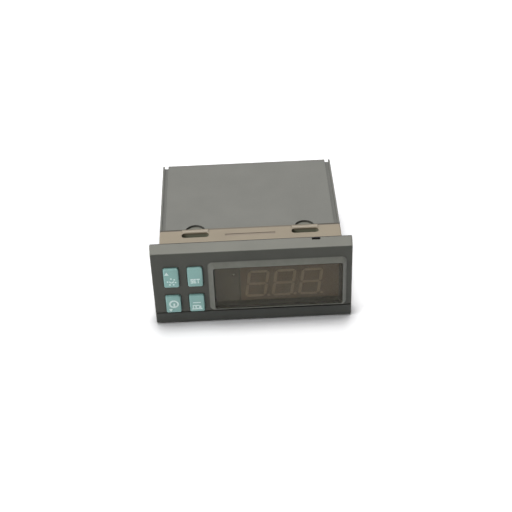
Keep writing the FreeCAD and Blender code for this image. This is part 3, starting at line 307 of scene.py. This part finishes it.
def moulded(name, colour, rough=0.5, grain=0.25, grain_size=0.25, tone=0.08, wear=0.25, edge=0.18,
            crevice_shade_depth=0.35, **extra):
    """Moulded plastic: a fine moulded grain, clouded colour, paler, smoother edges and painted shade in its
    grooves and corners.
    """
    g = new_material(name)
    normal = g.soft_normal(edge)
    edges = g.edges(normal)
    clouds = g.ramp(g.noise(14, 3), 0.3, 0.7)
    fine = g.noise(grain_size, 3, 0.6)
    scuffs = g.ramp(g.noise(1.2, 4, 0.7, stretch=(1.0, 0.35, 1.0)), 0.62, 0.8)
    body = g.mix(clouds, shade(colour, 1 - tone), shade(colour, 1 + tone))
    body = g.mix(g.times(g.ramp(fine, 0.3, 0.7), 0.5), body, shade(colour, 1 - 1.5 * tone))
    # Paler edges: real wear, and where wear is set high, as on the keys, also a painted highlight.
    worn = g.times(edges, g.ramp(g.noise(2.2, 3), 0.35, 0.65, wear * 0.4, wear))
    body = g.mix(worn, body, shade(colour, 2.2))
    body = g.mix(g.times(scuffs, 0.12), body, shade(colour, 1.7))
    # Painted shade: darker in grooves and corners.
    body = g.darken(body, g.crevice_shade(1.6, crevice_shade_depth))
    roughness = g.ramp(fine, 0.3, 0.7, rough - 0.05, rough + 0.07)
    roughness = g.math("ADD", roughness, g.times(edges, -0.1))
    bumped = g.bump(fine, grain, 0.05, normal)
    return g.finish(Base_Color=body, Roughness=roughness, Normal=bumped, **extra)


def front_finish(name):
    """The front frame: smooth walls, a grained plate darkened with painted shade, a chin darker still with
    painted shade, painted shade in its crevices, and a polished rim.
    """
    wall = srgb(106, 106, 97)
    # The plate's tone is a shaded copy of the walls' tone: painted shade on the front faces.
    plate = srgb(66, 67, 60)
    rim_low, rim_high = srgb(105, 106, 98), srgb(117, 118, 110)
    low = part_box("front_frame")[0]
    level = low[1] + RIM_HEIGHT * MM
    chin = low[2] + CHIN_HEIGHT * MM
    g = new_material(name)
    normal = g.soft_normal(0.2)
    edges = g.edges(normal)
    _, depth, height = g.node("ShaderNodeSeparateXYZ", Vector=g.coords).outputs
    on_plate = g.ramp(depth, level + FADE_FAR * MM, level + FADE_NEAR * MM)
    on_rim = g.ramp(depth, level - FADE_NEAR * MM, level - FADE_FAR * MM)
    chin_shade = g.ramp(height, chin + 0.1 * MM, chin - 0.1 * MM)
    clouds = g.ramp(g.noise(12, 3), 0.3, 0.7)
    fine = g.noise(0.22, 3, 0.6)
    body = g.mix(clouds, shade(wall, 0.94), shade(wall, 1.06))
    body = g.mix(on_plate, body, g.mix(clouds, shade(plate, 0.92), shade(plate, 1.08)))
    # Painted shade: the chin below the groove is darker still.
    body = g.mix(g.times(on_plate, chin_shade), body, srgb(54, 56, 51))
    body = g.mix(on_rim, body, g.mix(g.ramp(g.noise(3, 3), 0.3, 0.7), rim_low, rim_high))
    worn = g.times(edges, g.ramp(g.noise(2, 3), 0.3, 0.7, 0.05, 0.25))
    body = g.mix(worn, body, srgb(135, 135, 128))
    # Painted shade: darker in grooves and corners.
    body = g.darken(body, g.crevice_shade(1.2, 0.45))
    roughness = g.ramp(fine, 0.3, 0.7, 0.38, 0.46)
    roughness = g.math("ADD", roughness, g.times(on_plate, 0.18))
    roughness = g.math("SUBTRACT", roughness, g.times(on_rim, 0.14))
    return g.finish(Base_Color=body, Roughness=roughness, Normal=g.bump(fine, 0.2, 0.04, normal))


def collar_finish(name):
    """The inner collar's plastic, with painted light on its slot walls and painted shade in its slots and
    groove and along its seam with the case.
    """
    colour = srgb(140, 129, 110)
    case_low, case_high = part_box("case_shell")
    seam = case_low[1]
    wall_top = case_high[2] - WALL_TOP * MM
    half_groove = GROOVE_LENGTH / 2
    groove_end = GROOVE_START + GROOVE_WIDTH
    g = new_material(name)
    normal = g.soft_normal(0.18)
    edges = g.edges(normal)
    x, y, z = g.node("ShaderNodeSeparateXYZ", Vector=g.coords).outputs
    side = g.math("ABSOLUTE", x)
    level = g.math("ABSOLUTE", z)
    clouds = g.ramp(g.noise(14, 3), 0.3, 0.7)
    fine = g.noise(0.25, 3, 0.6)
    body = g.mix(clouds, shade(colour, 0.95), shade(colour, 1.05))
    body = g.mix(g.times(edges, 0.3), body, shade(colour, 1.6))
    inner_side = case_high[0] - SIDE_MARGIN * MM
    inside = g.ramp(side, inner_side, inner_side - 0.4 * MM)
    # Painted light: the shaded walls of the slots are lifted to a paler tone.
    painted_slot_light = g.times(g.ramp(level, wall_top, wall_top - WALL_FADE * MM), inside)
    body = g.mix(painted_slot_light, body, srgb(150, 152, 132))
    behind = g.ramp(y, seam - 0.1 * MM, seam + 0.1 * MM)
    body = g.mix(behind, body, srgb(112, 111, 101))
    across = g.ramp(side, (half_groove + 0.4) * MM, (half_groove - 0.4) * MM)
    begun = g.ramp(y, (GROOVE_START - 0.3) * MM, (GROOVE_START + 0.1) * MM)
    not_ended = g.ramp(y, (groove_end + 0.3) * MM, groove_end * MM)
    # Painted shade: the groove is darker.
    groove_shade = g.times(across, g.times(begun, not_ended))
    body = g.mix(g.times(groove_shade, 0.7), body, srgb(132, 120, 106))
    # Painted shade along the seam with the case, stronger towards the sides.
    before = g.ramp(y, seam - SEAM_SHADE_START * MM, seam - SEAM_SHADE_FULL * MM)
    seam_shade = g.times(before, g.ramp(y, seam + 0.2 * MM, seam))
    seam_shade = g.times(seam_shade, g.ramp(side, SEAM_SHADE_INNER * MM, SEAM_SHADE_OUTER * MM, 0.6, 1.0))
    body = g.mix(seam_shade, body, srgb(48, 41, 30))
    # Painted shade: darker in grooves and corners.
    body = g.darken(body, g.crevice_shade(1.6, 0.35))
    roughness = g.math("ADD", g.ramp(fine, 0.3, 0.7, 0.38, 0.5), g.times(edges, -0.1))
    return g.finish(Base_Color=body, Roughness=roughness, Normal=g.bump(fine, 0.25, 0.05, normal))


def smoked(name):
    """The window: smoked acrylic that lets a little of what is behind show."""
    g = new_material(name)
    normal = g.soft_normal(0.25)
    haze = g.noise(6, 4)
    tint = g.mix(g.ramp(haze, 0.3, 0.7), srgb(84, 80, 66), srgb(92, 88, 73))
    roughness = g.ramp(g.noise(0.8, 4, 0.7), 0.3, 0.75, 0.10, 0.2)
    bumped = g.bump(haze, 0.05, 0.05, normal)
    return g.finish(Base_Color=tint, Roughness=roughness, Normal=bumped, Alpha=0.37, IOR=1.49)


def plated(name, colour, rough=0.3):
    """Plated or rolled steel: directional marks, dull spots and bright edges."""
    g = new_material(name)
    normal = g.soft_normal(0.1)
    edges = g.edges(normal)
    grain = g.noise(0.25, 3, 0.6, stretch=(1.0, 1.0, 0.15))
    spots = g.ramp(g.noise(1.5, 4, 0.6), 0.55, 0.7)
    body = g.mix(g.times(spots, 0.4), colour, shade(colour, 0.55))
    body = g.mix(g.times(edges, 0.5), body, shade(colour, 1.3))
    roughness = g.ramp(grain, 0.3, 0.7, rough - 0.08, rough + 0.1)
    roughness = g.math("ADD", roughness, g.times(spots, 0.15))
    bumped = g.bump(grain, 0.2, 0.03, normal)
    return g.finish(Base_Color=body, Roughness=roughness, Normal=bumped, Metallic=1.0)


def laminated(name):
    """The transformer's core: thin varnished plates, seen as fine lines along their edges."""
    g = new_material(name)
    lines = g.wave(1.6, "Z", 0.6, 2.0)
    rust = g.ramp(g.noise(2.5, 4), 0.55, 0.75)
    body = g.mix(lines, srgb(58, 56, 54), srgb(120, 118, 115))
    body = g.mix(g.times(rust, 0.3), body, srgb(104, 74, 52))
    roughness = g.ramp(lines, 0.0, 1.0, 0.55, 0.35)
    bumped = g.bump(lines, 0.35, 0.05, g.soft_normal(0.1))
    return g.finish(Base_Color=body, Roughness=roughness, Metallic=0.7, Normal=bumped)


def taped(name):
    """Winding tape: overlapped turns with small wrinkles."""
    g = new_material(name)
    turns = g.wave(9, "Y", 1.5, 3.0)
    wrinkles = g.noise(1.4, 4, 0.6, stretch=(1.0, 0.3, 1.0))
    body = g.mix(turns, srgb(178, 150, 62), srgb(204, 178, 88))
    roughness = g.ramp(wrinkles, 0.3, 0.7, 0.28, 0.45)
    bumped = g.bump(wrinkles, 0.5, 0.12, g.soft_normal(0.15))
    return g.finish(Base_Color=body, Roughness=roughness, Normal=bumped)


def laminate_board(name):
    """A green board: solder mask over faint copper runs."""
    g = new_material(name)
    runs = g.node("ShaderNodeTexBrick", Vector=g.coords, Scale=1 / (6 * MM), Mortar_Size=0.05,
                  Color1=srgb(24, 84, 52), Color2=srgb(30, 98, 60), Mortar=srgb(20, 66, 42))
    weave = g.noise(0.5, 2)
    body = g.mix(g.times(g.ramp(weave, 0.3, 0.7), 0.3), runs.outputs["Color"], srgb(34, 104, 66))
    roughness = g.ramp(weave, 0.3, 0.7, 0.28, 0.42)
    bumped = g.bump(runs.outputs["Fac"], 0.2, 0.03, g.soft_normal(0.1))
    return g.finish(Base_Color=body, Roughness=roughness, Normal=bumped)


def ink():
    """The key print: pale ink, a little worn."""
    g = new_material("key_ink")
    wear = g.ramp(g.noise(0.3, 4, 0.7), 0.35, 0.7)
    body = g.mix(wear, srgb(242, 255, 252), srgb(208, 238, 232))
    roughness = g.ramp(g.noise(0.15, 2), 0.3, 0.7, 0.38, 0.55)
    return g.finish(Base_Color=body, Roughness=roughness, Normal=g.bump(wear, 0.2, 0.01, g.soft_normal(0.02)))


FINISHES = {
    "frame_plastic": front_finish,
    "case_plastic": partial(moulded, colour=srgb(107, 107, 101), rough=0.47),
    "collar_plastic": collar_finish,
    "smoked_window": smoked,
    # The keys' strong edge wear is partly real wear and partly a painted highlight along their edges.
    "key_plastic": partial(moulded, colour=srgb(150, 196, 190), rough=0.42, tone=0.07, wear=0.5, edge=0.9,
                           crevice_shade_depth=0.0),
    "gasket_rubber": partial(moulded, colour=srgb(34, 33, 31), rough=0.75, grain=0.4, wear=0.05),
    "display_plastic": partial(moulded, colour=srgb(136, 106, 66), grain=0.06, crevice_shade_depth=0.0),
    "segment_epoxy": partial(moulded, colour=srgb(208, 182, 142), rough=0.35, grain=0.05, wear=0.0,
                             crevice_shade_depth=0.0),
    "holder_plastic": partial(moulded, colour=srgb(117, 107, 82), grain=0.06, crevice_shade_depth=0.0),
    "led_lens": partial(moulded, colour=srgb(252, 246, 222), rough=0.2, grain=0.05, wear=0.0, crevice_shade_depth=0.0,
                        Coat_Weight=0.5),
    "circuit_board": laminate_board,
    "black_plastic": partial(moulded, colour=srgb(28, 28, 29), rough=0.45),
    "plunger_plastic": partial(moulded, colour=srgb(150, 44, 36), rough=0.4),
    "lamination_steel": laminated,
    "bobbin_plastic": partial(moulded, colour=srgb(214, 208, 190), rough=0.45),
    "winding_tape": taped,
    "relay_plastic": partial(moulded, colour=srgb(36, 66, 122), rough=0.35, grain=0.1),
    "capacitor_can": partial(moulded, colour=srgb(24, 34, 66), rough=0.3, grain=0.05, wear=0.15),
    "chip_epoxy": partial(moulded, colour=srgb(30, 30, 31), rough=0.6, grain=0.4, grain_size=0.12),
    "varistor_ceramic": partial(moulded, colour=srgb(44, 74, 128), rough=0.4, grain=0.3, grain_size=0.8),
    "terminal_plastic": partial(moulded, colour=srgb(44, 98, 62), rough=0.45),
    "plated_steel": partial(plated, colour=srgb(166, 164, 158)),
}


def dress_nodes():
    """Gives every node of the frame the finish of its material slot, and returns the finishes made."""
    slots = {part["node"]: part["material_slot"] for part in frame["record"]["subparts"]}
    made = {}
    for name, piece in frame["nodes"].items():
        slot = slots[name]
        if slot not in made:
            made[slot] = FINISHES[slot](slot)
        piece.data.materials.clear()
        piece.data.materials.append(made[slot])
    return made


# ---------------------------------------------------------------- key print

# Shapes are flat outlines in the key's plane, across and up, in millimetres.

def polyline(points, width=INK_LINE):
    """The outline of a stroke between each point and the next."""
    shapes = []
    for (x0, z0), (x1, z1) in zip(points, points[1:]):
        along = Vector((x1 - x0, z1 - z0)).normalized() * width / 2
        across = Vector((-along.y, along.x))
        a = Vector((x0, z0)) - along
        b = Vector((x1, z1)) + along
        shapes.append([a - across, b - across, b + across, a + across])
    return shapes


def disc(x, z, radius, sides=12):
    """The outline of a dot."""
    turns = [2 * math.pi * i / sides for i in range(sides)]
    return [Vector((x + radius * math.cos(t), z + radius * math.sin(t))) for t in turns]


def arc(x, z, radius, start, end, steps=14):
    """Points along an arc between two angles in degrees."""
    turns = [math.radians(start + (end - start) * i / steps) for i in range(steps + 1)]
    return [(x + radius * math.cos(t), z + radius * math.sin(t)) for t in turns]


def triangle(x, z, size, up=1):
    """The outline of a triangle that points up, or down where up is -1."""
    half = up * size / 2
    base = z - up * size * 0.4
    return [Vector((x - half, base)), Vector((x + half, base)), Vector((x, z + up * size * 0.5))]


def moved(shapes, x, z, wide, tall):
    """The shapes stretched and then moved."""
    return [[Vector((point.x * wide + x, point.y * tall + z)) for point in shape] for shape in shapes]


def dotted_star(x, z, radius):
    """A short curved line inside a ring of dots."""
    turns = [math.radians(degrees) for degrees in DOT_PLACES]
    dots = [disc(x + radius * math.cos(t), z + radius * math.sin(t), DOT_RADIUS) for t in turns]
    return dots + polyline(arc(x, z + radius * 0.25, radius * 0.5, 200, 340))


def word_set():
    """SET in straight strokes."""
    top, foot = LETTER_TOP, -LETTER_TOP
    upper_turn = [(-0.95, top), (-1.65, top), (-1.65, 0.05)]
    lower_turn = [(-0.95, 0.05), (-0.95, foot), (-1.65, foot)]
    strokes = polyline(upper_turn + lower_turn)
    strokes += polyline([(0.32, top), (-0.42, top), (-0.42, foot), (0.32, foot)])
    strokes += polyline([(-0.42, 0.0), (0.2, 0.0)])
    strokes += polyline([(0.9, top), (1.9, top)])
    strokes += polyline([(1.4, top), (1.4, foot)])
    return moved(strokes, -0.15, -1.65, 0.88, 1.3)


def power_ring():
    """A closed ring with a short bar from its middle down."""
    return polyline(arc(0.15, 0.2, 1.55, 0, 360), 0.62) + polyline([(0.25, 0.2), (0.25, -0.9)], 0.7)


def barred_sounder():
    """A sounder's outline on its foot, under a bar."""
    strokes = polyline([(-1.3, 0.5), (1.2, 0.5)], 0.45)
    strokes += polyline([(-1.6, -2.5), (-1.6, -0.95), (-0.2, -0.95)])
    strokes += polyline(arc(0.2, -1.65, 0.75, 0, 360))
    strokes += polyline([(-1.75, -2.55), (1.55, -2.55)], 0.6)
    strokes += polyline([(1.3, -1.2), (1.3, -2.5)])
    return strokes


def print_marks():
    """The marks on each key, from the middle of the key's face."""
    return {
        "key_defrost": [triangle(-1.6, 2.25, 1.7)] + dotted_star(0.05, -1.6, 1.5),
        "key_set": word_set(),
        "key_on_off": power_ring() + [triangle(-1.2, -2.75, 1.6, up=-1)],
        "key_mute": barred_sounder(),
    }


def add_prism(mesh, middle, shape, lift):
    """A flat mark with the outline of the shape, standing that far proud of the key's face."""
    back = [mesh.verts.new(middle + Vector((point.x * MM, 0, point.y * MM))) for point in shape]
    front = [mesh.verts.new(vert.co - Vector((0, lift, 0))) for vert in back]
    mesh.faces.new(front)
    mesh.faces.new(list(reversed(back)))
    for i in range(len(shape)):
        j = (i + 1) % len(shape)
        mesh.faces.new((back[i], back[j], front[j], front[i]))


def print_keys():
    """Prints each key's marks on its face, so that they ride on the key."""
    material = ink()
    for node, shapes in print_marks().items():
        low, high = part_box(node)
        middle = Vector(((low[0] + high[0]) / 2, low[1], (low[2] + high[2]) / 2))
        mesh = bmesh.new()
        for index, shape in enumerate(shapes):
            add_prism(mesh, middle, shape, (INK_HEIGHT + INK_STEP * index) * MM)
        bmesh.ops.recalc_face_normals(mesh, faces=mesh.faces)
        piece = add_object(node + "_print", mesh, material)
        bevel = piece.modifiers.new("SoftEdge", "BEVEL")
        bevel.width = INK_BEVEL * MM
        bevel.segments = 2
        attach(piece, node + "_body")


# ---------------------------------------------------------------- status lamp

def led_dome(material):
    """The rounded tip of the status lamp, which fills its sight hole in the holder."""
    low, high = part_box("status_led")
    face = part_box("led_holder")[0][1] + DOME_SETBACK * MM
    centre = Vector(((low[0] + high[0]) / 2, face, (low[2] + high[2]) / 2))
    around = [2 * math.pi * k / DOME_SIDES for k in range(DOME_SIDES)]
    mesh = bmesh.new()
    tip = mesh.verts.new(centre)
    rings = []
    for i in range(1, DOME_STEPS + 1):
        turn = math.radians(90 * i / DOME_STEPS)
        radius = DOME_RADIUS * math.sin(turn) * MM
        back = DOME_RADIUS * (1 - math.cos(turn)) * MM
        places = [Vector((radius * math.cos(t), back, radius * math.sin(t))) for t in around]
        rings.append([mesh.verts.new(centre + place) for place in places])
    root = [mesh.verts.new(Vector((vert.co.x, low[1], vert.co.z))) for vert in rings[-1]]
    rings.append(root)
    for k in range(DOME_SIDES):
        j = (k + 1) % DOME_SIDES
        mesh.faces.new((tip, rings[0][j], rings[0][k]))
        for near, far in zip(rings, rings[1:]):
            mesh.faces.new((near[k], near[j], far[j], far[k]))
    mesh.faces.new(list(reversed(root)))
    bmesh.ops.recalc_face_normals(mesh, faces=mesh.faces)
    for each in mesh.faces:
        each.smooth = True
    piece = add_object("led_dome", mesh, material)
    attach(piece, "controller")


# ---------------------------------------------------------------- surroundings

def floor_paper():
    """Pale paper that glows white away from the object where it is seen, held back near it by a painted
    contact shadow.
    """
    g = new_material("floor_paper")
    away = g.node("ShaderNodeVectorMath")
    away.operation = "LENGTH"
    g.feed(away.inputs[0], g.coords)
    glow = g.ramp(away.outputs["Value"], FLOOR_NEAR, FLOOR_FAR, FLOOR_GLOW, 1.0)
    # Painted contact shadow: less glow where the object hems the floor in.
    open_sky = g.node("ShaderNodeAmbientOcclusion", Distance=SHADOW_REACH * MM)
    glow = g.times(glow, g.ramp(open_sky.outputs["AO"], 0.5, 0.95))
    paper = g.mix(g.ramp(g.noise(0.6, 3), 0.3, 0.7), *PAPER_TONES)
    glow = g.times(g.seen(), glow)
    return g.finish(Base_Color=paper, Roughness=0.9, Emission_Color=WHITE, Emission_Strength=glow)


def lay_floor():
    """The floor, which touches the lower rear edges of the front frame and the case."""
    frame_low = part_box("front_frame")[0]
    gasket_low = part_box("panel_gasket")[0]
    case_low, case_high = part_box("case_shell")
    slope = (case_low[2] - frame_low[2]) / (case_high[1] - gasket_low[1])
    mesh = bmesh.new()
    corners = [(-1, -1), (1, -1), (1, 1), (-1, 1)]
    places = [(x * FLOOR_REACH, y * FLOOR_REACH) for x, y in corners]
    verts = [mesh.verts.new((x, y, frame_low[2] + slope * (y - gasket_low[1]))) for x, y in places]
    mesh.faces.new(verts)
    floor = add_object("floor", mesh, floor_paper())


def make_world():
    """White where it is seen, and a little plain light for the rest."""
    world = bpy.data.worlds.new("studio")
    bpy.context.scene.world = world
    g = Graph(world)
    strength = g.ramp(g.seen(), 0.0, 1.0, AMBIENT, 1.0)
    g.end("ShaderNodeOutputWorld", g.node("ShaderNodeBackground", Color=WHITE, Strength=strength))


def add_lamp(name, azimuth, elevation, distance, size, power):
    """A soft square lamp aimed at the middle of the object."""
    away = toward(azimuth, elevation)
    light = bpy.data.lights.new(name, "AREA")
    light.size = size
    light.energy = power
    made = bpy.data.objects.new(name, light)
    made.location = OBJECT_MIDDLE + away * distance
    made.rotation_euler = away.to_track_quat("Z", "Y").to_euler()
    bpy.context.collection.objects.link(made)


def set_camera():
    """The camera at the viewpoint, turned about its own axis by the roll."""
    roll = math.radians(VIEW_ROLL)
    back = toward(VIEW_AZIMUTH, VIEW_ELEVATION)
    right = (-back).cross(Vector((0, 0, 1))).normalized()
    up = right.cross(-back)
    data = bpy.data.cameras.new("camera")
    data.sensor_width = SENSOR_WIDTH
    data.lens = LENS_LENGTH
    camera = bpy.data.objects.new("camera", data)
    matrix = camera.matrix_world.to_3x3()
    matrix.col[0] = right * math.cos(roll) + up * math.sin(roll)
    matrix.col[1] = up * math.cos(roll) - right * math.sin(roll)
    matrix.col[2] = back
    camera.matrix_world = matrix.to_4x4()
    camera.location = OBJECT_MIDDLE + Vector(VIEW_AIM) * MM + back * VIEW_DISTANCE * MM
    bpy.context.collection.objects.link(camera)
    bpy.context.scene.camera = camera


finishes = dress_nodes()
print_keys()
led_dome(finishes["led_lens"])
lay_floor()
make_world()
for lamp_name, settings in LAMPS.items():
    add_lamp(lamp_name, *settings)
set_camera()
bpy.context.scene.view_settings.view_transform = "Standard"
